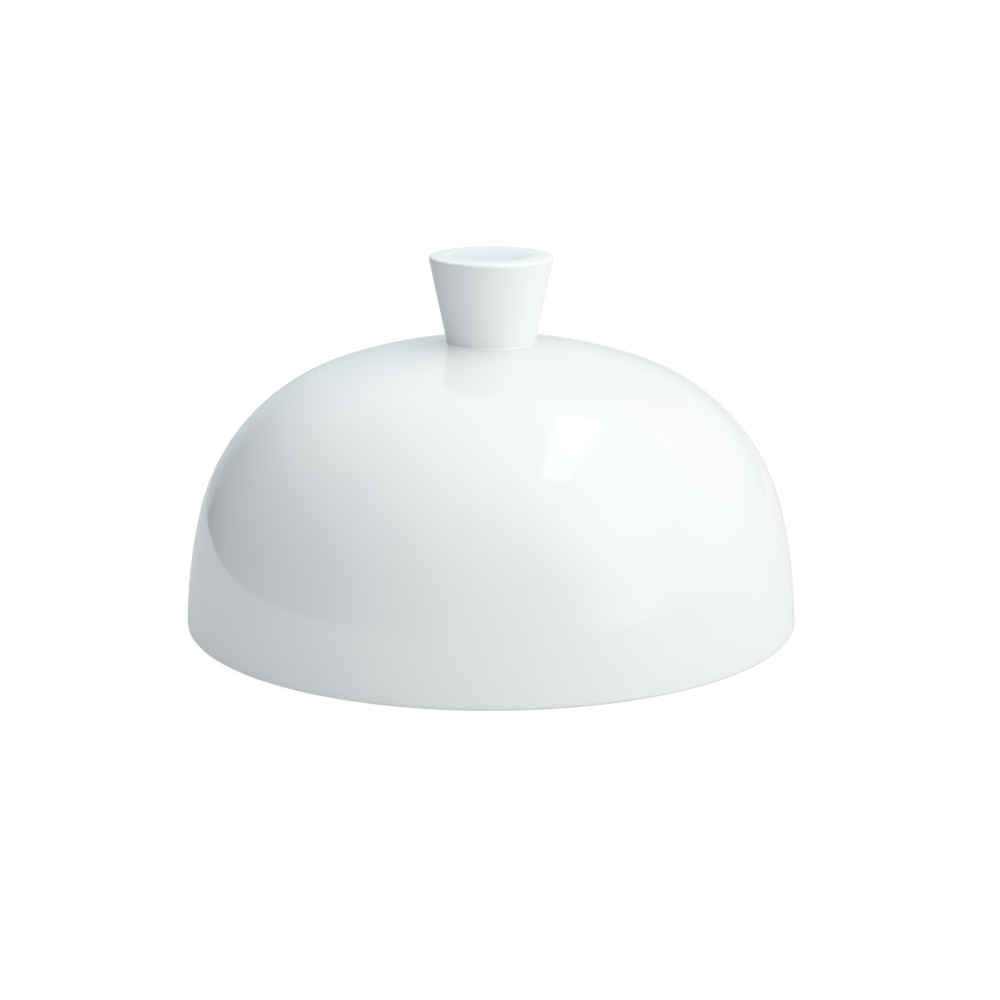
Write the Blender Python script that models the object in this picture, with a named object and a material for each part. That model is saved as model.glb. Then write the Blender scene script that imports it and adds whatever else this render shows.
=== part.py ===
"""Serving cloche: a glazed porcelain dome with a separate porcelain knob, screwed on through the crown.

Units are metres and +Z is up. The origin is the centre of the rim, on the plane that the dome stands on.
Every piece is turned about Z, so each has one outline of (radius, height) points that is spun round.
"""
import math

import bmesh
import bpy
from mathutils import Matrix

# Dome, outside: three arcs that meet without a corner, skirt, shoulder and crown.
# Each end is the angle of the arc's normal above the horizon.
RIM_RADIUS = 0.120
SKIRT_RADIUS = 0.203
SHOULDER_RADIUS = 0.0795
SKIRT_START = math.radians(1.6)
SKIRT_END = math.radians(13.9)
SHOULDER_END = math.radians(70.2)

# Dome, wall and foot ring.
WALL = 0.0042
RIM_OUTER_ROUND = 0.0015
RIM_INNER_ROUND = 0.0010

# Crown: a flat seat outside for the knob, and a thickened boss inside for the washers.
SEAT_LEDGE = 0.0004
SEAT_THICKNESS = 0.0065
BOSS_RADIUS = 0.0130
BOSS_FLARE = 0.0050
HOLE_EDGE = 0.0004

# Knob: a cone that flares upward, with a soft lip round a shallow dish.
KNOB_HEIGHT = 0.0335
KNOB_FOOT_RADIUS = 0.0172
KNOB_TOP_RADIUS = 0.0240
KNOB_FOOT_ROUND = 0.0006
LIP_ROUND = 0.0013
DISH_DEPTH = 0.0016
FOOT_RING = 0.0029

# Fastening, M5.
SCREW_RADIUS = 0.0025
SCREW_LENGTH = 0.025
SCREW_TIP_CHAMFER = 0.0006
HEAD_RADIUS = 0.00475
HEAD_HEIGHT = 0.00275
HEAD_RIM = 0.0007
SOCKET_ACROSS_FLATS = 0.003
SOCKET_DEPTH = 0.00156
SPRING_RADIUS = 0.0046
SPRING_THICKNESS = 0.0012
SPRING_SPLIT = 0.0010
SPRING_SPLIT_ANGLE = math.radians(25)
WASHER_RADIUS = 0.0100
WASHER_THICKNESS = 0.0012
GROMMET_RADIUS = 0.0100
GROMMET_THICKNESS = 0.0015
COLLAR_WALL = 0.0009
GASKET_THICKNESS = 0.0008

# Insert and cement in the knob's bore.
INSERT_FLANGE_RADIUS = 0.0055
INSERT_WAIST_DEPTH = 0.0010
INSERT_FLANGE_THICKNESS = 0.0025
CEMENT_WALL = 0.0015
CEMENT_CAP = 0.0012

# Clearances.
FIT = 0.0003
KNOB_JOINT = 0.0003
TIP_CLEARANCE = 0.0008

# Fineness of the turned shapes. Multiples of 4 keep each piece even about X and Y.
DOME_SIDES = 72
KNOB_SIDES = 48
SMALL_SIDES = 32
SKIRT_STEPS = 3
SHOULDER_STEPS = 9
CROWN_STEPS = 4
EDGE_STEPS = 3
LIP_STEPS = 6
DISH_STEPS = 4
SMOOTH_ANGLE = math.radians(32)

# What follows from the sizes above.
SCREW_WAY = SCREW_RADIUS + FIT
COLLAR_RADIUS = SCREW_WAY + COLLAR_WALL
HOLE_RADIUS = COLLAR_RADIUS + FIT
SEAT_RADIUS = KNOB_FOOT_RADIUS + SEAT_LEDGE
RECESS_RADIUS = KNOB_FOOT_RADIUS - FOOT_RING
RECESS_DEPTH = GASKET_THICKNESS + 2 * FIT - KNOB_JOINT
BORE_RADIUS = INSERT_FLANGE_RADIUS + FIT + CEMENT_WALL + FIT


def along(centre, radius, angle):
    """The point at an angle on a circle in the (radius, height) plane."""
    return centre[0] + radius * math.cos(angle), centre[1] + radius * math.sin(angle)


def arc(centre, radius, start, end, steps):
    """Points along an arc, both ends included."""
    return [along(centre, radius, start + (end - start) * i / steps) for i in range(steps + 1)]


class DomeOutline:
    """The dome's three arcs, chained from the rim up so that each is tangent to the one below it."""

    def __init__(self):
        edge = (RIM_RADIUS - RIM_OUTER_ROUND, RIM_OUTER_ROUND)
        self.edge = edge
        start = along(edge, RIM_OUTER_ROUND, SKIRT_START)
        self.skirt = along(start, -SKIRT_RADIUS, SKIRT_START)
        top_of_skirt = along(self.skirt, SKIRT_RADIUS, SKIRT_END)
        self.shoulder = along(top_of_skirt, -SHOULDER_RADIUS, SKIRT_END)
        top_of_shoulder = along(self.shoulder, SHOULDER_RADIUS, SHOULDER_END)
        # The crown is centred on the axis, which sets its radius.
        self.crown_radius = top_of_shoulder[0] / math.cos(SHOULDER_END)
        self.crown = along(top_of_shoulder, -self.crown_radius, SHOULDER_END)

    def crown_height(self, radius, depth=0.0):
        """Height of the crown at a distance from the axis, on the surface that lies depth inside the outer one."""
        return self.crown[1] + math.sqrt((self.crown_radius - depth) ** 2 - radius ** 2)

    def climb(self, depth, last_radius):
        """Points from the rim up to a distance from the axis, on the surface that lies depth inside."""
        crown_radius = self.crown_radius - depth
        end = math.acos(last_radius / crown_radius)
        skirt = arc(self.skirt, SKIRT_RADIUS - depth, SKIRT_START, SKIRT_END, SKIRT_STEPS)
        shoulder = arc(self.shoulder, SHOULDER_RADIUS - depth, SKIRT_END, SHOULDER_END, SHOULDER_STEPS)
        crown = arc(self.crown, crown_radius, SHOULDER_END, end, CROWN_STEPS)
        return skirt + shoulder[1:] + crown[1:]


DOME = DomeOutline()
SEAT_HEIGHT = DOME.crown_height(SEAT_RADIUS)
BOSS_HEIGHT = SEAT_HEIGHT - SEAT_THICKNESS
KNOB_FOOT_HEIGHT = SEAT_HEIGHT + KNOB_JOINT
GROMMET_HEIGHT = BOSS_HEIGHT - FIT
WASHER_HEIGHT = GROMMET_HEIGHT - GROMMET_THICKNESS - FIT
SPRING_HEIGHT = WASHER_HEIGHT - WASHER_THICKNESS - FIT
HEAD_SEAT_HEIGHT = SPRING_HEIGHT - SPRING_THICKNESS - FIT
INSERT_HEIGHT = KNOB_FOOT_HEIGHT + RECESS_DEPTH
INSERT_LENGTH = HEAD_SEAT_HEIGHT + SCREW_LENGTH + TIP_CLEARANCE - INSERT_HEIGHT
BORE_DEPTH = RECESS_DEPTH + INSERT_LENGTH + FIT + CEMENT_CAP + FIT


def clear_scene():
    for item in list(bpy.data.objects):
        bpy.data.objects.remove(item)


def principled(name, colour, roughness, metallic=0.0, coat=0.0):
    """A material of one colour, with an optional clear glaze."""
    material = bpy.data.materials.new(name)
    material.use_nodes = True
    shader = material.node_tree.nodes["Principled BSDF"]
    shader.inputs["Base Color"].default_value = (*colour, 1.0)
    shader.inputs["Roughness"].default_value = roughness
    shader.inputs["Metallic"].default_value = metallic
    shader.inputs["Coat Weight"].default_value = coat
    material.diffuse_color = (*colour, 1.0)
    return material


def turned(name, outline, sides, material, parent, height=0.0):
    """A piece turned about Z from an outline of (radius, height) points.

    An outline that starts and ends on the axis makes a solid with two poles, and any other is closed into a ring.
    """
    mesh = bpy.data.meshes.new(name)
    work = bmesh.new()
    points = [work.verts.new((radius, 0.0, level)) for radius, level in outline]
    edges = [work.edges.new(pair) for pair in zip(points, points[1:])]
    on_axis = outline[0][0] == 0.0 and outline[-1][0] == 0.0
    if not on_axis:
        edges.append(work.edges.new((points[-1], points[0])))
    bmesh.ops.spin(work, geom=points + edges, cent=(0, 0, 0), axis=(0, 0, 1), angle=2 * math.pi, steps=sides)
    bmesh.ops.remove_doubles(work, verts=work.verts, dist=1e-5)
    bmesh.ops.recalc_face_normals(work, faces=work.faces)
    work.to_mesh(mesh)
    work.free()
    mesh.shade_smooth()
    mesh.set_sharp_from_angle(angle=SMOOTH_ANGLE)
    mesh.materials.append(material)
    piece = bpy.data.objects.new(name, mesh)
    bpy.context.scene.collection.objects.link(piece)
    piece.parent = parent
    piece.location.z = height
    return piece


def cut(piece, work, name, location, rotation=(0.0, 0.0, 0.0)):
    """Take a cutter's shape out of a piece. The cutter is a guide, carried by the piece and not rendered."""
    mesh = bpy.data.meshes.new(name)
    work.to_mesh(mesh)
    work.free()
    cutter = bpy.data.objects.new(name, mesh)
    bpy.context.scene.collection.objects.link(cutter)
    cutter.parent = piece
    cutter.location = location
    cutter.rotation_euler = rotation
    cutter.hide_render = True
    cutter.display_type = "WIRE"
    modifier = piece.modifiers.new(name, "BOOLEAN")
    modifier.operation = "DIFFERENCE"
    modifier.solver = "EXACT"
    modifier.object = cutter


def frame(name, parent=None, height=0.0):
    """An empty that carries pieces."""
    empty = bpy.data.objects.new(name, None)
    bpy.context.scene.collection.objects.link(empty)
    empty.empty_display_size = 0.02
    empty.parent = parent
    empty.location.z = height
    return empty


def dome_shell(parent, porcelain):
    """The dome: outside down, round the foot ring, inside up to the boss, and back up the screw hole."""
    outside = DOME.climb(0.0, SEAT_RADIUS)[::-1]
    inside = DOME.climb(WALL, BOSS_RADIUS + BOSS_FLARE)
    outer_edge = arc(DOME.edge, RIM_OUTER_ROUND, SKIRT_START, -math.pi / 2, EDGE_STEPS)
    inner_centre = (inside[0][0] + RIM_INNER_ROUND, RIM_INNER_ROUND)
    inner_edge = arc(inner_centre, RIM_INNER_ROUND, -math.pi / 2, -math.pi, EDGE_STEPS)
    boss = [(BOSS_RADIUS, BOSS_HEIGHT)]
    hole = [
        (HOLE_RADIUS + HOLE_EDGE, BOSS_HEIGHT),
        (HOLE_RADIUS, BOSS_HEIGHT + HOLE_EDGE),
        (HOLE_RADIUS, SEAT_HEIGHT - HOLE_EDGE),
        (HOLE_RADIUS + HOLE_EDGE, SEAT_HEIGHT),
    ]
    outline = outside + outer_edge[1:] + inner_edge + inside[1:] + boss + hole
    return turned("dome_shell", outline, DOME_SIDES, porcelain, parent)


def knob(parent, porcelain):
    """The knob: dish, lip, flared side, foot ring, gasket recess and blind bore."""
    lip = (KNOB_TOP_RADIUS - LIP_ROUND, KNOB_HEIGHT - LIP_ROUND)
    dish_low = KNOB_HEIGHT - DISH_DEPTH
    # The dish is part of a sphere that touches the lip's round from outside it.
    dish_radius = (lip[0] ** 2 + (dish_low - lip[1]) ** 2 - LIP_ROUND ** 2) / (2 * DISH_DEPTH)
    dish_centre = (0.0, dish_low + dish_radius)
    touch = math.atan2(dish_centre[1] - lip[1], -lip[0])
    foot = (KNOB_FOOT_RADIUS - KNOB_FOOT_ROUND, KNOB_FOOT_ROUND)
    # Straight side that touches both rounds.
    run = math.hypot(lip[0] - foot[0], lip[1] - foot[1])
    lean = math.atan2(lip[0] - foot[0], lip[1] - foot[1]) + math.asin((LIP_ROUND - KNOB_FOOT_ROUND) / run)
    dish = arc(dish_centre, dish_radius, -math.pi / 2, touch - math.pi, DISH_STEPS)
    dish[0] = (0.0, dish_low)
    outline = dish + arc(lip, LIP_ROUND, touch, -lean, LIP_STEPS)[1:]
    outline += arc(foot, KNOB_FOOT_ROUND, -lean, -math.pi / 2, EDGE_STEPS)
    outline += [
        (RECESS_RADIUS, 0.0),
        (RECESS_RADIUS, RECESS_DEPTH),
        (BORE_RADIUS, RECESS_DEPTH),
        (BORE_RADIUS, BORE_DEPTH),
        (0.0, BORE_DEPTH),
    ]
    return turned("knob", outline, KNOB_SIDES, porcelain, parent)


def spool(gap):
    """The insert's outside, bottom to top, or the surface that lies a gap outside it."""
    flange = INSERT_FLANGE_RADIUS + gap
    waist = flange - INSERT_WAIST_DEPTH
    low = INSERT_FLANGE_THICKNESS + gap
    high = INSERT_LENGTH - INSERT_FLANGE_THICKNESS - gap
    return [
        (flange, 0.0),
        (flange, low),
        (waist, low + INSERT_WAIST_DEPTH),
        (waist, high - INSERT_WAIST_DEPTH),
        (flange, high),
        (flange, INSERT_LENGTH + gap),
    ]


def knob_insert(parent, brass):
    """The threaded insert, drawn without its thread: a spool with a through hole."""
    outline = spool(0.0)[::-1] + [(SCREW_WAY, 0.0), (SCREW_WAY, INSERT_LENGTH)]
    return turned("knob_insert", outline, SMALL_SIDES, brass, parent, RECESS_DEPTH)


def insert_cement(parent, cement):
    """The cement: a cup that fills the bore round and over the insert, keyed into the insert's waist."""
    outer = BORE_RADIUS - FIT
    top = INSERT_LENGTH + FIT + CEMENT_CAP
    outline = [(0.0, top), (outer, top), (outer, 0.0)] + spool(FIT) + [(0.0, INSERT_LENGTH + FIT)]
    return turned("insert_cement", outline, SMALL_SIDES, cement, parent, RECESS_DEPTH)


def knob_gasket(parent, silicone):
    """The gasket in the knob's foot recess. It bears on the crown's seat."""
    outer = RECESS_RADIUS - FIT
    outline = [(SCREW_WAY, GASKET_THICKNESS), (outer, GASKET_THICKNESS), (outer, 0.0), (SCREW_WAY, 0.0)]
    return turned("knob_gasket", outline, KNOB_SIDES, silicone, parent, SEAT_HEIGHT + FIT)


def crown_grommet(parent, silicone):
    """The shouldered washer under the crown, with a collar that centres the screw in the porcelain."""
    outline = [
        (SCREW_WAY, SEAT_THICKNESS),
        (COLLAR_RADIUS, SEAT_THICKNESS),
        (COLLAR_RADIUS, 0.0),
        (GROMMET_RADIUS, 0.0),
        (GROMMET_RADIUS, -GROMMET_THICKNESS),
        (SCREW_WAY, -GROMMET_THICKNESS),
    ]
    return turned("crown_grommet", outline, SMALL_SIDES, silicone, parent, GROMMET_HEIGHT)


def flat_washer(parent, steel):
    outline = [(SCREW_WAY, 0.0), (WASHER_RADIUS, 0.0), (WASHER_RADIUS, -WASHER_THICKNESS),
               (SCREW_WAY, -WASHER_THICKNESS)]
    return turned("flat_washer", outline, SMALL_SIDES, steel, parent, WASHER_HEIGHT)


def spring_washer(parent, steel):
    """The spring washer, closed up as it lies under a tight screw, with its slanting split."""
    outline = [(SCREW_WAY, 0.0), (SPRING_RADIUS, 0.0), (SPRING_RADIUS, -SPRING_THICKNESS),
               (SCREW_WAY, -SPRING_THICKNESS)]
    washer = turned("spring_washer", outline, SMALL_SIDES, steel, parent, SPRING_HEIGHT)
    work = bmesh.new()
    size = (2 * SPRING_RADIUS, SPRING_SPLIT, 4 * SPRING_THICKNESS, 1.0)
    bmesh.ops.create_cube(work, size=1.0, matrix=Matrix.Diagonal(size))
    place = (SPRING_RADIUS, 0.0, -SPRING_THICKNESS / 2)
    cut(washer, work, "spring_split_cutter", place, (SPRING_SPLIT_ANGLE, 0.0, 0.0))
    return washer


def knob_screw(parent, steel):
    """The button-head screw, head down, drawn without its thread and cut with a hexagon socket."""
    rise = HEAD_HEIGHT - HEAD_RIM
    # The head's dome is part of a sphere through its rim and its flat end.
    flat = SOCKET_ACROSS_FLATS / 2 / math.cos(math.pi / 6) + HEAD_RIM / 2
    centre_height = (HEAD_RADIUS ** 2 - flat ** 2 - rise ** 2) / (2 * rise)
    ball = math.hypot(HEAD_RADIUS, centre_height)
    ball_centre = (0.0, -HEAD_RIM + centre_height)
    start = math.atan2(-centre_height, HEAD_RADIUS)
    end = math.atan2(-HEAD_HEIGHT - ball_centre[1], flat)
    outline = [
        (0.0, SCREW_LENGTH),
        (SCREW_RADIUS - SCREW_TIP_CHAMFER, SCREW_LENGTH),
        (SCREW_RADIUS, SCREW_LENGTH - SCREW_TIP_CHAMFER),
        (SCREW_RADIUS, 0.0),
        (HEAD_RADIUS, 0.0),
    ]
    outline += arc(ball_centre, ball, start, end, EDGE_STEPS)
    outline += [(0.0, -HEAD_HEIGHT)]
    screw = turned("knob_screw", outline, SMALL_SIDES, steel, parent, HEAD_SEAT_HEIGHT)
    work = bmesh.new()
    corner = SOCKET_ACROSS_FLATS / 2 / math.cos(math.pi / 6)
    bmesh.ops.create_cone(work, cap_ends=True, segments=6, radius1=corner, radius2=corner, depth=2 * SOCKET_DEPTH)
    cut(screw, work, "socket_cutter", (0.0, 0.0, -HEAD_HEIGHT))
    return screw


def build():
    clear_scene()
    porcelain = principled("glazed_porcelain", (0.86, 0.87, 0.865), 0.14, coat=1.0)
    knob_porcelain = principled("glazed_porcelain_knob", (0.86, 0.87, 0.865), 0.16, coat=1.0)
    silicone = principled("white_silicone", (0.82, 0.82, 0.80), 0.55)
    brass = principled("brass", (0.76, 0.58, 0.28), 0.30, metallic=1.0)
    cement = principled("cement", (0.66, 0.65, 0.62), 0.90)
    steel = principled("stainless_steel", (0.66, 0.66, 0.65), 0.28, metallic=1.0)

    cloche = frame("cloche")
    on_crown = frame("knob_on_crown", cloche, KNOB_FOOT_HEIGHT)
    dome_shell(cloche, porcelain)
    knob(on_crown, knob_porcelain)
    knob_insert(on_crown, brass)
    insert_cement(on_crown, cement)
    knob_gasket(cloche, silicone)
    crown_grommet(cloche, silicone)
    flat_washer(cloche, steel)
    spring_washer(cloche, steel)
    knob_screw(cloche, steel)


build()
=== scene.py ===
"""The serving cloche, dressed: glazed porcelain, the fastening in its crown, a plain floor and soft light.

Units are metres and +Z is up. The sections follow the object as it is put together: the dome, what is fixed
in its crown, then the knob and what holds it. Every piece is turned about Z and sits where the frame has it.
"""
import math

import bpy
import numpy as np
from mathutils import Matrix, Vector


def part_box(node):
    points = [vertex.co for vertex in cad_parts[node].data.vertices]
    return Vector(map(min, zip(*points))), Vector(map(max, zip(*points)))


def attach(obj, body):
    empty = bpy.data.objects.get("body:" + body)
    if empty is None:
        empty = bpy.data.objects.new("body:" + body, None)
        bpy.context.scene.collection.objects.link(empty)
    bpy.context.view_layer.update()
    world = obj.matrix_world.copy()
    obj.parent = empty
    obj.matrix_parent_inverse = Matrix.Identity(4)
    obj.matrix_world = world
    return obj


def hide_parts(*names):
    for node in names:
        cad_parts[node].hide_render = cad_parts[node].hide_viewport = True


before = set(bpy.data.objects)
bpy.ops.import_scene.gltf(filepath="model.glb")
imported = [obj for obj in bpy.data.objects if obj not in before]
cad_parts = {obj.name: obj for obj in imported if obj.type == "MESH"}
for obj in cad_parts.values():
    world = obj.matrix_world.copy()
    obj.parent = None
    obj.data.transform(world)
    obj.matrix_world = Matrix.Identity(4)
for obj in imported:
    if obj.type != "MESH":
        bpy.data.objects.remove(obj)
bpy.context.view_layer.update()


# Camera. A long lens a little over a metre away, looking slightly down on the dome, with its axis
# nearly through the dome's own.
CAMERA_LENS_MM = 97.62
CAMERA_DISTANCE = 1.080
CAMERA_ELEVATION = math.radians(16.55)
CAMERA_AIM = np.array([0.00345, 0.0, 0.04741])

camera_data = bpy.data.cameras.new("camera")
camera_data.lens = CAMERA_LENS_MM
camera_data.sensor_width = 36.0
camera_data.clip_end = 50.0
camera = bpy.data.objects.new("camera", camera_data)
bpy.context.scene.collection.objects.link(camera)
camera_back = CAMERA_DISTANCE * math.cos(CAMERA_ELEVATION)
camera_height = CAMERA_DISTANCE * math.sin(CAMERA_ELEVATION)
camera.location = (0.0, -camera_back, camera_height)
sight = CAMERA_AIM - np.array(camera.location)
camera_tilt = math.atan2(math.hypot(sight[0], sight[1]), -sight[2])
camera_turn = math.atan2(-sight[0], sight[1])
camera.rotation_euler = (camera_tilt, 0.0, camera_turn)
bpy.context.scene.camera = camera


# Dome. One wall of porcelain, slip-cast and glazed all over but for the flat that it stands on. Its outside
# is three arcs that run into each other, and its crown has a flat seat outside and a thickened boss inside.
RIM_RADIUS = 0.120
SKIRT_RADIUS = 0.203
SHOULDER_RADIUS = 0.0795
SKIRT_START = math.radians(1.6)
SKIRT_END = math.radians(13.9)
SHOULDER_END = math.radians(70.2)
WALL = 0.0042
RIM_OUTER_ROUND = 0.0015
RIM_INNER_ROUND = 0.0010
SEAT_RADIUS = 0.0176
SEAT_SPREAD = 0.0010
SEAT_SOFTNESS = 0.0012
SEAT_BLEND = 0.0022
SEAT_THICKNESS = 0.0065
BOSS_RADIUS = 0.0130
BOSS_FLARE = 0.0050
BOSS_ROUND = 0.0018
BOSS_INSIDE = 0.0080
HOLE_RADIUS = 0.0040
HOLE_EDGE = 0.0004
FLATS_RADIUS = 0.0100    # lies on the seat and on the boss
SWAY_DEPTH = 0.00008
SWAY_FULL_HEIGHT = 0.02
SWAY_CROWN_START = 0.02
SWAY_CROWN_WIDTH = 0.03
DOME_SIDES = 288


def along(centre, radius, angle):
    """Points on a circle in the (radius, height) plane: the centre plus the radius times cosine and sine."""
    return np.stack([centre[0] + radius * np.cos(angle), centre[1] + radius * np.sin(angle)], axis=-1)


def arc(centre, radius, start, end, count):
    """Evenly spaced points along an arc, both ends included."""
    return along(centre, radius, np.linspace(start, end, count))


def rounded(before, corner, after, radius, count=7):
    """A fillet: the arc of the given radius that touches both straight sides of a corner.

    A circle of that radius touches the sides at radius / tan(half angle) from the corner.
    """
    corner = np.asarray(corner, float)
    to_before = np.asarray(before, float) - corner
    to_after = np.asarray(after, float) - corner
    to_before /= np.linalg.norm(to_before)
    to_after /= np.linalg.norm(to_after)
    half = math.acos(np.clip(to_before @ to_after, -1, 1)) / 2
    middle = to_before + to_after
    centre = corner + middle / np.linalg.norm(middle) * radius / math.sin(half)
    first = corner + to_before * radius / math.tan(half) - centre
    last = corner + to_after * radius / math.tan(half) - centre
    start = math.atan2(first[1], first[0])
    turn = (math.atan2(last[1], last[0]) - start + math.pi) % (2 * math.pi) - math.pi
    return arc(centre, radius, start, start + turn, count)


def turned_mesh(name, outline, sides, body="root", sway=None):
    """A surface of revolution: the grid of an outline's points by angles, at (r cos a, r sin a, z).

    An outline whose ends are both on the axis is closed by a pole at each end, and any other into a ring.
    sway is an optional function of radius, height and angle that gives a small change of radius.
    """
    outline = np.asarray(outline, float)
    poles = outline[0, 0] == 0.0 and outline[-1, 0] == 0.0
    rings = outline[1:-1] if poles else outline
    angle = np.arange(sides) * 2 * math.pi / sides
    radius = np.repeat(rings[:, :1], sides, axis=1)
    height = np.repeat(rings[:, 1:], sides, axis=1)
    if sway is not None:
        radius = radius + sway(radius, height, angle[None, :])
    verts = np.stack([radius * np.cos(angle), radius * np.sin(angle), height], axis=-1).reshape(-1, 3)
    count = len(rings)
    row = np.arange(count - 1 if poles else count)[:, None]
    column = np.arange(sides)[None, :]
    beside = (column + 1) % sides
    below = (row + 1) % count
    here, under = row * sides, below * sides
    quads = np.stack([here + column, under + column, under + beside, here + beside], -1).reshape(-1, 4)
    loops = quads.ravel()
    sizes = np.full(len(quads), 4)
    if poles:
        first, last = len(verts), len(verts) + 1
        ends = np.array([[0.0, 0.0, outline[0, 1]], [0.0, 0.0, outline[-1, 1]]])
        verts = np.concatenate([verts, ends])
        column, beside = column.ravel(), beside.ravel()
        top = np.stack([np.full(sides, first), column, beside], -1)
        base = (count - 1) * sides
        bottom = np.stack([np.full(sides, last), base + beside, base + column], -1)
        loops = np.concatenate([loops, top.ravel(), bottom.ravel()])
        sizes = np.concatenate([sizes, np.full(2 * sides, 3)])
    return grid_piece(name, verts, loops, sizes, body)


def grid_piece(name, verts, loops, sizes, body="root"):
    """A smooth-shaded piece from arrays of vertices, face corners and face sizes, which rides on a body."""
    mesh = bpy.data.meshes.new(name)
    mesh.vertices.add(len(verts))
    mesh.vertices.foreach_set("co", np.ascontiguousarray(verts, dtype=np.float32).ravel())
    mesh.loops.add(len(loops))
    mesh.loops.foreach_set("vertex_index", np.ascontiguousarray(loops, dtype=np.int32))
    mesh.polygons.add(len(sizes))
    starts = np.concatenate([[0], np.cumsum(sizes)[:-1]])
    mesh.polygons.foreach_set("loop_start", starts.astype(np.int32))
    mesh.update(calc_edges=True)
    mesh.validate()
    mesh.shade_smooth()
    mesh.set_sharp_from_angle(angle=math.radians(35))
    piece = bpy.data.objects.new(name, mesh)
    bpy.context.scene.collection.objects.link(piece)
    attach(piece, body)
    return piece


class DomeArcs:
    """The dome's three arcs, each tangent to the one below, for its outside and for its inside."""

    def __init__(self):
        self.edge = np.array([RIM_RADIUS - RIM_OUTER_ROUND, RIM_OUTER_ROUND])
        start = along(self.edge, RIM_OUTER_ROUND, SKIRT_START)
        self.skirt = along(start, -SKIRT_RADIUS, SKIRT_START)
        self.shoulder = along(along(self.skirt, SKIRT_RADIUS, SKIRT_END), -SHOULDER_RADIUS, SKIRT_END)
        shoulder_top = along(self.shoulder, SHOULDER_RADIUS, SHOULDER_END)
        self.crown_radius = shoulder_top[0] / math.cos(SHOULDER_END)
        self.crown = along(shoulder_top, -self.crown_radius, SHOULDER_END)

    def crown_height(self, radius):
        return self.crown[1] + math.sqrt(self.crown_radius ** 2 - radius ** 2)

    def climb(self, depth, last_radius):
        """Points up the wall from the rim to a distance from the axis, depth inside the outer surface."""
        crown_radius = self.crown_radius - depth
        end = math.acos(last_radius / crown_radius)
        skirt = arc(self.skirt, SKIRT_RADIUS - depth, SKIRT_START, SKIRT_END, 20)
        shoulder = arc(self.shoulder, SHOULDER_RADIUS - depth, SKIRT_END, SHOULDER_END, 64)
        crown = arc(self.crown, crown_radius, SHOULDER_END, end, 32)
        return np.concatenate([skirt, shoulder[1:], crown[1:]])


def cast_sway(radius, height, angle):
    """The slight unevenness of a slip-cast form: a sum of three sine waves of the angle round the dome.

    The waves grow with height from nothing at the foot ring, which is ground true, and fade at the crown.
    """
    above_foot = np.clip(height / SWAY_FULL_HEIGHT, 0.0, 1.0)
    off_crown = np.clip((radius - SWAY_CROWN_START) / SWAY_CROWN_WIDTH, 0.0, 1.0)
    waves = np.sin(2 * angle + 0.7) + 0.6 * np.sin(3 * angle - 1.1 + 9.0 * height)
    waves = waves + 0.3 * np.sin(5 * angle + 2.0)
    return SWAY_DEPTH * (above_foot * off_crown) * waves


dome_arcs = DomeArcs()
seat_height = dome_arcs.crown_height(SEAT_RADIUS)
boss_height = seat_height - SEAT_THICKNESS
seat_edge = np.array([SEAT_RADIUS + SEAT_SPREAD, seat_height])
dome_outside = dome_arcs.climb(0.0, SEAT_RADIUS)[::-1]
dome_outside = dome_outside[dome_outside[:, 0] > seat_edge[0] + SEAT_BLEND]
dome_inside = dome_arcs.climb(WALL, BOSS_RADIUS + BOSS_FLARE)
inner_edge = np.array([dome_inside[0, 0] + RIM_INNER_ROUND, RIM_INNER_ROUND])
on_seat = (FLATS_RADIUS, seat_height)
on_boss = (FLATS_RADIUS, boss_height)
top_edge = (HOLE_RADIUS, seat_height)
bottom_edge = (HOLE_RADIUS, boss_height)
seat_round = rounded(on_seat, seat_edge, dome_outside[0], SEAT_SOFTNESS, 5)
boss_round = rounded(dome_inside[-1], (BOSS_RADIUS, boss_height), (BOSS_INSIDE, boss_height), BOSS_ROUND)
hole_top = rounded(bottom_edge, top_edge, on_seat, HOLE_EDGE, 4)
hole_bottom = rounded(on_boss, bottom_edge, top_edge, HOLE_EDGE, 4)
dome_outline = np.concatenate([
    seat_round,
    dome_outside,
    arc(dome_arcs.edge, RIM_OUTER_ROUND, SKIRT_START, -math.pi / 2, 9)[1:],
    arc(inner_edge, RIM_INNER_ROUND, -math.pi / 2, -math.pi, 7),
    dome_inside[1:],
    boss_round,
    hole_bottom,
    hole_top,
])
dome = turned_mesh("porcelain_dome", dome_outline, DOME_SIDES, sway=cast_sway)
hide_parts("dome_shell")


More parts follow.
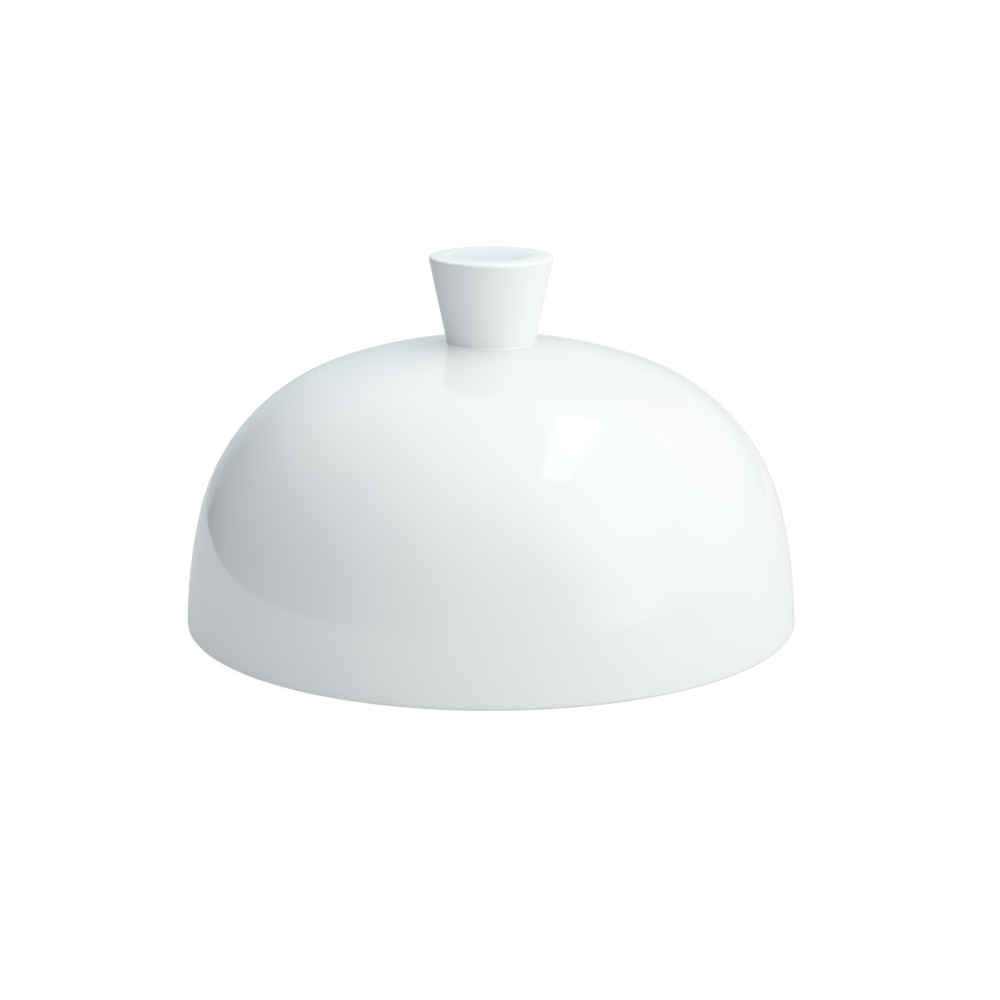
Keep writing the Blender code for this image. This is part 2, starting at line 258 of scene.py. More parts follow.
class Wire:
    """A socket in a node tree that Python's arithmetic acts on: an operator adds its Math node."""

    def __init__(self, tree, socket=None):
        self.tree = tree
        self.socket = socket

    def node(self, kind, settings=None, sockets=None, output=0):
        """Add a node: its settings first, then its sockets' values or wires. Gives one of its outputs."""
        made = self.tree.nodes.new(kind)
        for name, value in (settings or {}).items():
            setattr(made, name, value)
        for key, value in (sockets or {}).items():
            if isinstance(value, Wire):
                self.tree.links.new(value.socket, made.inputs[key])
            else:
                made.inputs[key].default_value = value
        return Wire(self.tree, made.outputs[output])

    def math(self, operation, *values):
        return self.node("ShaderNodeMath", {"operation": operation}, dict(enumerate(values)))

    def __add__(self, other):
        return self.math("ADD", self, other)

    __radd__ = __add__

    def __sub__(self, other):
        return self.math("SUBTRACT", self, other)

    def __rsub__(self, other):
        return self.math("SUBTRACT", other, self)

    def __mul__(self, other):
        return self.math("MULTIPLY", self, other)

    __rmul__ = __mul__

    def __truediv__(self, other):
        return self.math("DIVIDE", self, other)

    def exp(self):
        return self.math("EXPONENT", self)

    def at_least(self, other):
        return self.math("MAXIMUM", self, other)

    def size(self):
        return self.math("ABSOLUTE", self)

    def times_plus(self, factor, term):
        return self.math("MULTIPLY_ADD", self, factor, term)

    def step(self, low, high):
        """A smooth step: 0 below low, 1 above high, and a soft S between."""
        settings = {"interpolation_type": "SMOOTHSTEP", "clamp": True}
        return self.node("ShaderNodeMapRange", settings, {"Value": self, "From Min": low, "From Max": high})

    def mix(self, colour_a, colour_b):
        """A colour between two, by this wire as the share of the second."""
        node = self.tree.nodes.new("ShaderNodeMix")
        node.data_type = "RGBA"
        for place, colour in (("A", colour_a), ("B", colour_b)):
            socket = next(s for s in node.inputs if s.name == place and s.type == "RGBA")
            if isinstance(colour, Wire):
                self.tree.links.new(colour.socket, socket)
            else:
                socket.default_value = colour
        self.tree.links.new(self.socket, node.inputs["Factor"])
        return Wire(self.tree, next(s for s in node.outputs if s.type == "RGBA"))

    def noise(self, scale, detail=2.0, roughness=0.5):
        """Noise at a scale in cycles per metre, about 0.5."""
        sockets = {"Vector": self, "Scale": scale, "Detail": detail, "Roughness": roughness}
        return self.node("ShaderNodeTexNoise", {}, sockets)

    def from_axis(self):
        """This place's distance from the Z axis."""
        x, y = (self.node("ShaderNodeSeparateXYZ", sockets={0: self}, output=axis) for axis in range(2))
        square = x * x + y * y
        return square.math("SQRT", square)

    def round_axis(self, stretch):
        """This place as (distance from the axis, 0, height) plus a share of itself.

        Noise on it runs in rings round Z that wander as little as stretch is small.
        """
        height = self.node("ShaderNodeSeparateXYZ", sockets={0: self}, output=2)
        ring = self.node("ShaderNodeCombineXYZ", sockets={0: self.from_axis(), 2: height})
        sockets = {0: self, 1: (stretch,) * 3, 2: ring}
        return self.node("ShaderNodeVectorMath", {"operation": "MULTIPLY_ADD"}, sockets)


def new_material(name, **constants):
    """A Principled material with constant sockets set, its shader, and a wire of its object coordinates."""
    material = bpy.data.materials.new(name)
    material.use_nodes = True
    tree = material.node_tree
    shader = tree.nodes["Principled BSDF"]
    for key, value in constants.items():
        shader.inputs[key.replace("_", " ")].default_value = value
    start = Wire(tree)
    return material, shader, start.node("ShaderNodeTexCoord", output=3)


def feed(shader, socket, wire):
    wire.tree.links.new(wire.socket, shader.inputs[socket])


def bump(height, depth, strength=1.0):
    """The normal of a surface whose height runs over a depth in metres."""
    return height.node("ShaderNodeBump", sockets={"Height": height, "Strength": strength, "Distance": depth})


GLAZE_WHITE = (0.865, 0.875, 0.87, 1.0)
GLAZE_DEEP = (0.82, 0.85, 0.855, 1.0)
GLAZE_THIN = (0.87, 0.865, 0.84, 1.0)
# Painted shade: the darker, bluer colour laid in the knob's dish, where its shade and reflection fall.
DISH_PAINTED_SHADE = (0.80, 0.835, 0.845, 1.0)
BISQUE = (0.78, 0.75, 0.70, 1.0)
GLAZE_IOR = 1.52
GLAZE_GLOSS = 0.045
RIPPLE_DEPTH = 0.00006
DOME_FOOT_DEPTH = 0.0003
DISH_SHADE_EDGE_HEIGHT = 0.0001


def glazed_porcelain(name, foot_height, foot_depth, satin=0.0, white=GLAZE_WHITE, dish_shade=None):
    """Porcelain under a clear gloss glaze, bare and matt on the flat that stood on the kiln shelf.

    It is near white, a little bluer where the glaze runs thick, and very slightly rippled. The last argument
    is an inner
    and outer radius and a height: above that height, inside those radii, the colour is painted darker and
    bluer, painted shade and reflection in the knob's dish.
    """
    material, shader, place = new_material(name, IOR=GLAZE_IOR)
    height = place.node("ShaderNodeSeparateXYZ", sockets={0: place}, output=2)
    cloud = place.noise(14.0, 3.0).step(0.35, 0.65)
    grain = place.noise(900.0, 2.0)
    body = (cloud * 0.35).mix(white, GLAZE_DEEP)
    # Painted shade: inside the dish the colour turns darker and bluer, in place of the dish's own shade and
    # reflection.
    if dish_shade:
        inner, outer, low = dish_shade
        dish_shaded = (1.0 - place.from_axis().step(inner, outer)) * height.step(low, low + DISH_SHADE_EDGE_HEIGHT)
        body = dish_shaded.mix(body, DISH_PAINTED_SHADE)
    bare = 1.0 - (height - foot_height).step(0.0, foot_depth)
    speckle = (grain * bare).step(0.3, 0.7)
    feed(shader, "Base Color", bare.mix(body, speckle.mix(BISQUE, GLAZE_THIN)))
    sheen = GLAZE_GLOSS + satin + cloud * 0.02 + place.noise(60.0, 2.0) * 0.02
    feed(shader, "Roughness", sheen + bare * 0.55)
    ripple = place.noise(45.0, 2.0) + place.noise(320.0, 1.0) * 0.06 + grain * bare * 0.4
    feed(shader, "Normal", bump(ripple, RIPPLE_DEPTH))
    return material


dome.data.materials.append(glazed_porcelain("dome glaze", 0.0, DOME_FOOT_DEPTH))


# Crown grommet. A shouldered washer of white silicone, moulded in one: its flange lies under the boss, and
# its collar stands in the hole, so that neither the screw nor the steel washer touches the porcelain.
SILICONE_WHITE = (0.82, 0.82, 0.80, 1.0)
SILICONE_SHADE = (0.77, 0.775, 0.76, 1.0)
SCREW_WAY = 0.0028
COLLAR_RADIUS = 0.0037
GROMMET_THICKNESS = 0.0015
MOULDED_ROUND = 0.0003
TOOTH_DEPTH = 0.00003
SMALL_SIDES = 96


def softened(corners, radius, count=4):
    """A closed outline with each corner rounded to the same radius."""
    corners = np.asarray(corners, float)
    before, after = np.roll(corners, 1, axis=0), np.roll(corners, -1, axis=0)
    return np.concatenate([rounded(*three, radius, count) for three in zip(before, corners, after)])


def moulded_silicone(name):
    """White silicone: satin, slightly mottled and translucent, with the fine tooth of a blasted mould."""
    material, shader, place = new_material(name, IOR=1.41, Subsurface_Weight=0.15, Subsurface_Scale=0.0006)
    mottle = place.noise(260.0, 3.0)
    tooth = place.noise(5200.0, 2.0)
    feed(shader, "Base Color", mottle.step(0.35, 0.7).mix(SILICONE_WHITE, SILICONE_SHADE))
    feed(shader, "Roughness", 0.44 + tooth * 0.12 + mottle * 0.06)
    feed(shader, "Normal", bump(tooth + mottle, TOOTH_DEPTH, 0.6))
    return material


grommet_low, grommet_high = (corner[2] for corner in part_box("crown_grommet"))
flange_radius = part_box("crown_grommet")[1][0]
grommet = turned_mesh("silicone_grommet", softened([
    (COLLAR_RADIUS, grommet_high),
    (COLLAR_RADIUS, grommet_low + GROMMET_THICKNESS),
    (flange_radius, grommet_low + GROMMET_THICKNESS),
    (flange_radius, grommet_low),
    (SCREW_WAY, grommet_low),
    (SCREW_WAY, grommet_high),
], MOULDED_ROUND), SMALL_SIDES)
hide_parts("crown_grommet")
grommet.data.materials.append(moulded_silicone("grommet silicone"))


# Flat washer. A stainless penny washer, punched from sheet and tumbled, so that its edges are a little
# rounded and its faces keep the fine marks of the tool under a light grain.
STEEL_LIGHT = (0.68, 0.68, 0.67, 1.0)
STEEL_DARK = (0.58, 0.58, 0.575, 1.0)
STEEL_MARK_DEPTH = 0.00001
PUNCHED_ROUND = 0.00022


def turned_steel(name, grain, rings, roughness):
    """Stainless steel with fine marks: rings round the axis, and a tumbled grain over them."""
    material, shader, place = new_material(name, Metallic=1.0, IOR=2.5)
    marks = place.round_axis(0.02).noise(rings, 3.0, 0.65)
    tumbled = place.noise(grain, 3.0)
    shade = (marks * 0.5 + tumbled * 0.5).step(0.35, 0.65)
    feed(shader, "Base Color", shade.mix(STEEL_LIGHT, STEEL_DARK))
    feed(shader, "Roughness", roughness - 0.1 + marks * 0.12 + tumbled * 0.1)
    feed(shader, "Normal", bump(marks + tumbled * 0.5, STEEL_MARK_DEPTH, 0.5))
    return material


washer_low, washer_high = (corner[2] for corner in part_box("flat_washer"))
washer_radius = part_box("flat_washer")[1][0]
washer = turned_mesh("penny_washer", softened([
    (washer_radius, washer_high),
    (washer_radius, washer_low),
    (SCREW_WAY, washer_low),
    (SCREW_WAY, washer_high),
], PUNCHED_ROUND), SMALL_SIDES)
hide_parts("flat_washer")
washer.data.materials.append(turned_steel("washer steel", 900.0, 2500.0, 0.30))


# Spring washer. Flat stainless wire coiled to a ring and split on the slant, drawn as it lies under a tight
# screw, closed up flat.
SPRING_SPLIT = 0.0010
SPRING_SPLIT_ANGLE = math.radians(25)
SPRING_ROUND = 0.00015
SPRING_STEPS = 90


def split_ring(name, outline, gap, slant, steps):
    """A ring swept round Z with a slanting gap at +X: an outline's points by shares of the way round.

    At a distance r and a height z from the middle, the gap's sides are where r sin a = -z tan(slant) plus and
    minus half the gap over cos(slant). A cap closes each end.
    """
    outline = np.asarray(outline, float)
    radius, height = outline.T
    drift = -(height - height.mean()) * math.tan(slant)
    half = gap / 2 / math.cos(slant)
    start = np.arcsin((drift + half) / radius)
    end = 2 * math.pi + np.arcsin((drift - half) / radius)
    angle = start + (end - start) * np.linspace(0, 1, steps + 1)[:, None]
    level = np.broadcast_to(height, angle.shape)
    verts = np.stack([radius * np.cos(angle), radius * np.sin(angle), level], -1)
    count = len(outline)
    row = np.arange(steps)[:, None] * count
    column = np.arange(count)[None, :]
    beside = (column + 1) % count
    ahead = row + count
    quads = np.stack([row + column, row + beside, ahead + beside, ahead + column], -1).reshape(-1, 4)
    caps = [np.arange(count)[::-1], steps * count + np.arange(count)]
    loops = np.concatenate([quads.ravel(), *caps])
    sizes = np.concatenate([np.full(len(quads), 4), [count, count]])
    return grid_piece(name, verts.reshape(-1, 3), loops, sizes)


spring_low, spring_high = (corner[2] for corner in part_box("spring_washer"))
spring_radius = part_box("spring_washer")[1][1]
spring_outline = softened([
    (spring_radius, spring_high),
    (spring_radius, spring_low),
    (SCREW_WAY, spring_low),
    (SCREW_WAY, spring_high),
], SPRING_ROUND, 3)
spring = split_ring("split_spring_washer", spring_outline, SPRING_SPLIT, SPRING_SPLIT_ANGLE, SPRING_STEPS)
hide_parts("spring_washer")
spring.data.materials.append(turned_steel("spring steel", 1400.0, 3200.0, 0.34))


# Screw. A stainless M5 button-head screw, cold headed with a hexagon socket and rolled with its thread, put
# in from inside the dome and up into the knob's insert.
THREAD_PITCH = 0.0008
THREAD_DEPTH = 0.00049
THREAD_START = 0.0012
THREAD_STOP = 0.0003
TIP_CHAMFER = 0.0006
TIP_DOME = 0.0004
TIP_EDGE = 0.0001
HEAD_HEIGHT = 0.00275
HEAD_RIM = 0.0007
HEAD_RADIUS = 0.00475
HEAD_ROUND = 0.0002
HEAD_FILLET = 0.0002
SCREW_RADIUS = 0.0025
SCREW_SIDES = 48
SHANK_STEPS = 230
SOCKET_APOTHEM = 0.0015
SOCKET_DEPTH = 0.00156
SOCKET_EDGE = 0.0001
SOCKET_POINT = 0.0002
SOCKET_REACH = 0.0008
DRILLED_SHARE = 0.92

screw_low, screw_high = (corner[2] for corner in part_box("knob_screw"))
head_seat = screw_low + HEAD_HEIGHT
thread_low = head_seat + THREAD_START
thread_high = screw_high - THREAD_STOP


def thread_and_socket(radius, height, angle):
    """Changes of radius on the screw: its thread, a helix, and its socket, a circle drawn out to a hexagon.

    The thread falls from its crest to its root and back once a pitch, in a wave of height / pitch - angle /
    turn, and runs out at both ends. A hexagon's radius is its apothem over the cosine of the angle from the
    middle of its flat.
    """
    phase = (height / THREAD_PITCH - angle / (2 * math.pi)) % 1.0
    groove = np.clip(1.15 - 1.25 * np.abs(2 * phase - 1), 0.0, 1.0)
    fade_in = np.clip((height - thread_low) / THREAD_PITCH, 0, 1)
    fade_out = np.clip((thread_high - height) / THREAD_PITCH, 0, 1)
    from_flat = (angle + math.pi / 6) % (math.pi / 3) - math.pi / 6
    in_socket = (height < head_seat - SOCKET_REACH) & (radius < SOCKET_APOTHEM + 1.5 * SOCKET_EDGE)
    thread = -THREAD_DEPTH * groove * (fade_in * fade_out)
    return np.where(in_socket, radius * (1 / np.cos(from_flat) - 1), thread)


head_flat = SOCKET_APOTHEM / math.cos(math.pi / 6) + HEAD_RIM / 2
head_rise = HEAD_HEIGHT - HEAD_RIM
head_drop = (HEAD_RADIUS ** 2 - head_flat ** 2 - head_rise ** 2) / (2 * head_rise)
head_ball = math.hypot(HEAD_RADIUS, head_drop)
ball_centre = np.array([0.0, head_seat - HEAD_RIM + head_drop])
ball_start = math.atan2(-head_drop, HEAD_RADIUS)
ball_end = math.atan2(screw_low - ball_centre[1], head_flat)
head_edge = (HEAD_RADIUS, head_seat)
rim_low = (HEAD_RADIUS, head_seat - HEAD_RIM)
tip_radius = SCREW_RADIUS - TIP_CHAMFER
socket_floor = screw_low + SOCKET_DEPTH - SOCKET_POINT
shank = np.linspace(screw_high - TIP_CHAMFER, head_seat + HEAD_FILLET, SHANK_STEPS)
screw_outline = np.concatenate([
    [
        (0.0, screw_high),
        (tip_radius - TIP_DOME, screw_high),
        (tip_radius, screw_high - TIP_EDGE),
    ],
    np.stack([np.full_like(shank, SCREW_RADIUS), shank], axis=-1),
    [(SCREW_RADIUS + HEAD_FILLET, head_seat)],
    rounded((SCREW_RADIUS, head_seat), head_edge, rim_low, HEAD_ROUND, 4),
    arc(ball_centre, head_ball, ball_start, ball_end, 14),
    [
        (SOCKET_APOTHEM + SOCKET_EDGE, screw_low),
        (SOCKET_APOTHEM, screw_low + SOCKET_EDGE),
        (SOCKET_APOTHEM, socket_floor),
        (SOCKET_APOTHEM * DRILLED_SHARE, socket_floor),
        (0.0, screw_low + SOCKET_DEPTH),
    ],
])
screw = turned_mesh("button_head_screw", screw_outline, SCREW_SIDES, sway=thread_and_socket)
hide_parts("knob_screw")
screw.data.materials.append(turned_steel("screw steel", 1800.0, 5200.0, 0.24))


# Knob. A porcelain cone that flares upward to a soft lip round a shallow dish. It is glazed down to its foot,
# where the glaze has run into a small fillet that stands on the crown's seat with a hairline joint.
KNOB_TOP = 0.1449
KNOB_FOOT_RADIUS = 0.0172
KNOB_TOP_RADIUS = 0.0240
KNOB_JOINT = 0.00001
GLAZE_FILLET = 0.0007
GLAZE_EDGE = 0.00001
LIP_ROUND = 0.0011
LIP_CREST_RADIUS = 0.0175
LIP_ROLL = 0.0450
CREST_ROLL = 0.0100
DISH_DEPTH = 0.0010
RECESS_ROOM = 0.0003
# Where the painted dish shade lies: its inner and outer radius, and the height above which it starts.
DISH_SHADE_PLACE = (0.0135, 0.0185, 0.1400)
# Painted light: the knob's glaze is whiter than the dome's, so that the knob looks more brightly lit.
KNOB_LIGHTENED_WHITE = (0.93, 0.935, 0.93, 1.0)
KNOB_SATIN = 0.15
KNOB_BARE_DROP = 0.0002    # bare clay would start this far under the foot, so the knob has none
KNOB_SIDES = 192

knob_low = seat_height + KNOB_JOINT
# The lip's broad roll is an arc that is level at its crest, and its edge a smaller one that touches it from
# inside.
roll = np.array([LIP_CREST_RADIUS, KNOB_TOP - LIP_ROLL])
roll_end = math.acos((KNOB_TOP_RADIUS - LIP_ROUND - LIP_CREST_RADIUS) / (LIP_ROLL - LIP_ROUND))
lip = along(roll, LIP_ROLL - LIP_ROUND, roll_end)
# The dish is part of a sphere that touches the crest's inner round from outside it.
crest = np.array([LIP_CREST_RADIUS, KNOB_TOP - CREST_ROLL])
dish_radius = (LIP_CREST_RADIUS ** 2 / DISH_DEPTH + DISH_DEPTH) / 2 - CREST_ROLL
dish_centre = np.array([0.0, KNOB_TOP - DISH_DEPTH + dish_radius])
dish_touch = math.asin(LIP_CREST_RADIUS / (dish_radius + CREST_ROLL))
foot = np.array([KNOB_FOOT_RADIUS, knob_low])
side = lip - foot
knob_lean = math.atan2(side[0], side[1]) + math.asin(LIP_ROUND / np.linalg.norm(side))
side_low = along(lip, LIP_ROUND, -knob_lean)
fillet_end = np.array([KNOB_FOOT_RADIUS + 0.95 * GLAZE_FILLET, knob_low + GLAZE_EDGE])
fillet_corner = np.array([KNOB_FOOT_RADIUS, knob_low + GLAZE_EDGE])
recess_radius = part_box("knob_gasket")[1][0] + RECESS_ROOM
recess_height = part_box("knob_insert")[0][2]
bore_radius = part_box("insert_cement")[1][0] + RECESS_ROOM
bore_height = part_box("insert_cement")[1][2] + RECESS_ROOM
knob_outline = np.concatenate([
    arc(dish_centre, dish_radius, -math.pi / 2, dish_touch - math.pi / 2, 24),
    arc(crest, CREST_ROLL, math.pi / 2 + dish_touch, math.pi / 2, 7)[1:],
    arc(roll, LIP_ROLL, math.pi / 2, roll_end, 16)[1:],
    arc(lip, LIP_ROUND, roll_end, -knob_lean, 10)[1:],
    rounded(side_low, fillet_corner, fillet_end, GLAZE_FILLET, 9),
    [
        (fillet_end[0], knob_low),
        (recess_radius, knob_low),
        (recess_radius, recess_height),
        (bore_radius, recess_height),
        (bore_radius, bore_height),
        (0.0, bore_height),
    ],
])
knob_outline[0, 0] = 0.0
knob = turned_mesh("porcelain_knob", knob_outline, KNOB_SIDES)
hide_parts("knob")
# The knob's glaze has a lighter white than the dome's, which is painted light, and painted shade in its dish.
knob_glaze = glazed_porcelain(
    "knob glaze", knob_low - KNOB_BARE_DROP, KNOB_BARE_DROP / 2, KNOB_SATIN, KNOB_LIGHTENED_WHITE, DISH_SHADE_PLACE)
knob.data.materials.append(knob_glaze)


# Knob gasket. A thin disc of white silicone, die cut, in the recess of the knob's foot. It keeps glaze from
# bearing on glaze.
DIE_CUT_ROUND = 0.00012
GASKET_SIDES = 128

gasket_low, gasket_high = (corner[2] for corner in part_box("knob_gasket"))
gasket_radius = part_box("knob_gasket")[1][0]
gasket = turned_mesh("silicone_gasket", softened([
    (gasket_radius, gasket_high),
    (gasket_radius, gasket_low),
    (SCREW_WAY, gasket_low),
    (SCREW_WAY, gasket_high),
], DIE_CUT_ROUND), GASKET_SIDES)
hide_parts("knob_gasket")
gasket.data.materials.append(moulded_silicone("gasket silicone"))


# Threaded insert. A spool turned from brass bar, its two flanges knurled and its waist left plain for the
# cement to key round, with the screw's hole right through it.
BRASS_LIGHT = (0.78, 0.60, 0.30, 1.0)
BRASS_DULL = (0.60, 0.43, 0.19, 1.0)
INSERT_FLANGE = 0.0025
INSERT_WAIST = 0.0045
INSERT_SLOPE = 0.0010
INSERT_ROUND = 0.00015
KNURL_TEETH = 36
KNURL_DEPTH = 0.00012
KNURL_RISE = 0.0009
BRASS_MARK_DEPTH = 0.00001


def knurled(radius, height, angle):
    """Straight knurling on the flanges: the radius dips by a rectified sine, one tooth to a wave."""
    on_flange = (radius > INSERT_WAIST + KNURL_RISE).astype(float)
    return -KNURL_DEPTH * on_flange * (1 - np.abs(np.sin(angle * KNURL_TEETH / 2)))


def turned_brass(name):
    """Brass as the lathe left it: fine rings round the axis, a little dulled in patches."""
    material, shader, place = new_material(name, Metallic=1.0)
    rings = place.round_axis(0.01).noise(4200.0, 3.0, 0.6)
    dulled = place.noise(380.0, 3.0).step(0.4, 0.75)
    feed(shader, "Base Color", dulled.mix(BRASS_LIGHT, BRASS_DULL))
    feed(shader, "Roughness", 0.22 + rings * 0.14 + dulled * 0.16)
    feed(shader, "Normal", bump(rings, BRASS_MARK_DEPTH, 0.5))
    return material


insert_low, insert_high = (corner[2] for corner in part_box("knob_insert"))
insert_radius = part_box("knob_insert")[1][0]
upper_flange = insert_high - INSERT_FLANGE
lower_flange = insert_low + INSERT_FLANGE
insert = turned_mesh("brass_insert", softened([
    (insert_radius, insert_high),
    (insert_radius, upper_flange),
    (INSERT_WAIST, upper_flange - INSERT_SLOPE),
    (INSERT_WAIST, lower_flange + INSERT_SLOPE),
    (insert_radius, lower_flange),
    (insert_radius, insert_low),
    (SCREW_WAY, insert_low),
    (SCREW_WAY, insert_high),
], INSERT_ROUND), 4 * KNURL_TEETH, sway=knurled)
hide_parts("knob_insert")
insert.data.materials.append(turned_brass("insert brass"))


# Cement. Poured round the insert and set, a pale grey cup that fills the bore. The frame's own solid has its
# shape and keeps it.
CEMENT_PALE = (0.68, 0.67, 0.64, 1.0)
CEMENT_GREY = (0.52, 0.515, 0.50, 1.0)
SAND_DEPTH = 0.00008


def set_cement(name):
    """Set cement: matt, cloudy, sandy, and pitted where air was caught."""
    material, shader, place = new_material(name, Specular_IOR_Level=0.3)
    cloud = place.noise(240.0, 4.0, 0.6)
    sand = place.noise(3600.0, 3.0, 0.7)
    pits = place.noise(1300.0, 1.0).step(0.36, 0.30)
    shade = (cloud * 0.6 + sand * 0.4).step(0.35, 0.68)
    feed(shader, "Base Color", shade.mix(CEMENT_PALE, CEMENT_GREY))
    feed(shader, "Roughness", 0.84 + sand * 0.14)
    feed(shader, "Normal", bump(sand - pits * 1.5, SAND_DEPTH, 0.8))
    return material


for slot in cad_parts["insert_cement"].material_slots:
    slot.material = set_cement("insert cement")


# Studio. A table in a product tent. The camera sees both as plain white. The object is lit by, and mirrors,
# a dimmer glow from the table, a soft surround with a dark end on the left, a bright wall at the front right
# and a narrow softbox overhead. The table is cut away at the left and the back left, where a dark card shows.
FLOOR_OUTLINE = [(3.0, -3.0), (3.0, 3.0), (-0.10, 3.0), (-0.16, 0.45), (-0.40, 0.26), (-2.76, -3.0)]
FLOOR_WHITE = (0.16, 0.16, 0.16, 1.0)
FLOOR_GLOW = 0.86
BOUNCE_GREY = (0.42, 0.43, 0.44, 1.0)
BOUNCE_GLOW = 0.30
BOUNCE_REACH = (-0.15, 0.25)
BOUNCE_LEFT = (0.92, 0.92, 0.92, 1.0)
BOUNCE_RIGHT = (1.24, 1.24, 1.24, 1.0)
AWAY_FROM_WALL = (-0.7071, 0.7071, 0.0)
TABLE_FADE = (-0.72, -0.37)
SURROUND_FADE = (-0.60, -0.15)
SURROUND_GREY = (0.74, 0.755, 0.76, 1.0)
SURROUND_WHITE = (1.0, 1.0, 1.0, 1.0)
OVERHEAD_FADE = (0.02, 0.06)


def dot(ray, vector):
    sockets = {0: ray, 1: tuple(float(v) for v in vector)}
    return ray.node("ShaderNodeVectorMath", {"operation": "DOT_PRODUCT"}, sockets, output="Value")


floor_mesh = bpy.data.meshes.new("floor")
floor_mesh.from_pydata([(x, y, 0.0) for x, y in FLOOR_OUTLINE], [], [range(len(FLOOR_OUTLINE))])
floor = bpy.data.objects.new("floor", floor_mesh)
bpy.context.scene.collection.objects.link(floor)
floor_material, floor_shader, floor_place = new_material(
    "white floor", Base_Color=FLOOR_WHITE, Roughness=0.8, Emission_Strength=FLOOR_GLOW)
# Towards the front right the table's white fades to a pale grey, as the surround does there.
white_part = dot(floor_place, AWAY_FROM_WALL).step(*TABLE_FADE)
feed(floor_shader, "Emission Color", white_part.mix(SURROUND_GREY, SURROUND_WHITE))
# The camera sees the table white, but what it sends up to the object is less, and grows to the right.
across = floor_place.node("ShaderNodeSeparateXYZ", sockets={0: floor_place}, output=0)
bounce = floor_place.node("ShaderNodeBsdfPrincipled", sockets={
    "Base Color": BOUNCE_GREY,
    "Roughness": 1.0,
    "IOR": 1.0,
    "Emission Color": across.step(*BOUNCE_REACH).mix(BOUNCE_LEFT, BOUNCE_RIGHT),
    "Emission Strength": BOUNCE_GLOW,
})
seen = floor_place.node("ShaderNodeLightPath", output="Is Camera Ray")
printed = Wire(floor_material.node_tree, floor_shader.outputs[0])
floor_mix = seen.node("ShaderNodeMixShader", sockets={0: seen, 1: bounce, 2: printed})
feed(floor_material.node_tree.nodes["Material Output"], "Surface", floor_mix)
floor_mesh.materials.append(floor_material)


def facing(azimuth, elevation):
    """Three unit vectors for a direction in degrees: towards it, to its right and up from it."""
    a, e = math.radians(azimuth), math.radians(elevation)
    towards = np.array([math.cos(e) * math.cos(a), math.cos(e) * math.sin(a), math.sin(e)])
    right = np.array([-math.sin(a), math.cos(a), 0.0])
    return towards, right, np.cross(towards, right)


def lobe(ray, azimuth, elevation, sharpness, narrowed=(0.0, 0.0)):
    """Light that fades from a direction: exp(sharpness * (cosine - 1) - a * across^2 - b * above^2).

    The cosine is the ray's with the direction. across and above are its parts to the right of it and up from
    it, and narrowed gives a and b, which make the light taller than wide or wider than tall.
    """
    towards, right, up = facing(azimuth, elevation)
    fade = dot(ray, towards).times_plus(sharpness, -sharpness)
    for amount, axis in zip(narrowed, (right, up)):
        if amount:
            part = dot(ray, axis)
            fade = (part * part).times_plus(-amount, fade)
    return fade.exp()


def card(ray, azimuth, elevation, flatness, edge, depth):
    """The share of light that a dark card leaves: 1 - depth on the card and 1 past its soft edge.

    A ray meets the card where its cosine with the card's direction less flatness * above^2 is over the edge.
    """
    towards, _, up = facing(azimuth, elevation)
    above = dot(ray, up)
    on_card = (above * above).times_plus(-flatness, dot(ray, towards)).step(*edge)
    return on_card.times_plus(-depth, 1.0)


def overhead_strip(ray, middle, half, soft):
    """A flat strip of light overhead: a ray meets it where x / z and y / z are within half of its middle."""
    rise = dot(ray, (0.0, 0.0, 1.0))
    light = rise.step(*OVERHEAD_FADE)
    for axis, centre, reach in zip(((1.0, 0.0, 0.0), (0.0, 1.0, 0.0)), middle, half):
        off = (dot(ray, axis) / rise.at_least(OVERHEAD_FADE[0]) - centre).size()
        light = light * off.step(reach + soft, reach - soft)
    return light


def scaled(wire, colour):
    """A colour times a wire's number."""
    return wire.node("ShaderNodeVectorMath", {"operation": "SCALE"}, {0: colour, "Scale": wire})


def added(first, second):
    return first.node("ShaderNodeVectorMath", {"operation": "ADD"}, {0: first, 1: second})


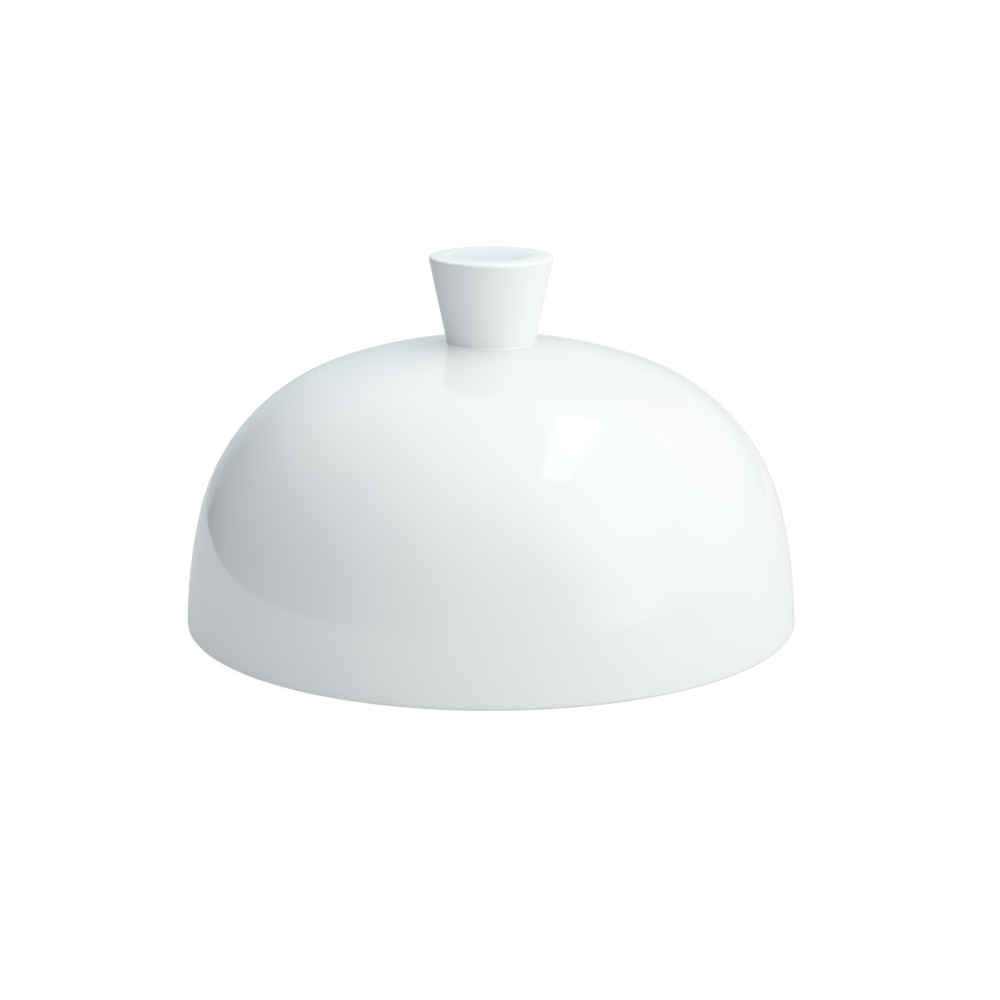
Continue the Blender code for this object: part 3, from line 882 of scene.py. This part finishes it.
world = bpy.data.worlds.new("studio")
bpy.context.scene.world = world
world.use_nodes = True
backdrop = world.node_tree.nodes["Background"]
ray = Wire(world.node_tree).node("ShaderNodeTexCoord")
ray = ray.node("ShaderNodeVectorMath", {"operation": "NORMALIZE"}, {0: ray})
black_card = card(ray, 141.0, -4.0, 4.0, (0.945, 0.957), 1.0)
left_over = (card(ray, 172.0, 8.0, 1.58, (0.45, 0.85), 1.0) * black_card
             * card(ray, -175.0, 10.0, 0.8, (0.10, 0.68), 0.5)
             * card(ray, 35.0, 38.0, 1.47, (0.63, 0.96), 0.45))
studio = {
    "surround": left_over,
    "ceiling": lobe(ray, 0.0, 90.0, 2.8) * left_over,
    "front right wall": lobe(ray, -36.0, 20.0, 2.8, (7.1, 0.0)),
    "front": lobe(ray, -90.0, 45.0, 3.0),
    "right": lobe(ray, 5.0, 0.0, 11.6),
    "right high": lobe(ray, 15.0, 35.0, 5.0),
    "back": lobe(ray, 118.0, 45.0, 4.3, (0.0, 3.9)) * left_over,
    "back low": lobe(ray, 90.0, 5.0, 5.5, (0.0, 5.8)),
    "overhead softbox": overhead_strip(ray, (0.352, 0.12), (0.097, 0.43), 0.015),
}
# How bright each light is in red, green and blue.
STRENGTHS = {
    "surround": (0.50, 0.55, 0.55),
    "ceiling": (0.65, 0.60, 0.60),
    "front right wall": (1.35, 1.35, 1.15),
    "front": (0.05, 0.10, 0.15),
    "right": (0.45, 0.45, 0.45),
    "right high": (0.30, 0.20, 0.20),
    "back": (0.30, 0.35, 0.40),
    "back low": (0.05, 0.10, 0.10),
    "overhead softbox": (1.15, 1.05, 1.05),
}
glow = None
for light, strength in STRENGTHS.items():
    part = scaled(studio[light], strength)
    glow = part if glow is None else added(glow, part)
# The camera sees a plain surround in place of these lights, white but for the pale grey at the front right.
seen = glow.node("ShaderNodeLightPath", output="Is Camera Ray")
white_part = dot(ray, AWAY_FROM_WALL).step(*SURROUND_FADE)
glow = seen.mix(glow, white_part.mix(SURROUND_GREY, SURROUND_WHITE))
feed(backdrop, "Color", glow)
world.cycles.sampling_method = "NONE"
bpy.context.scene.view_settings.view_transform = "Standard"
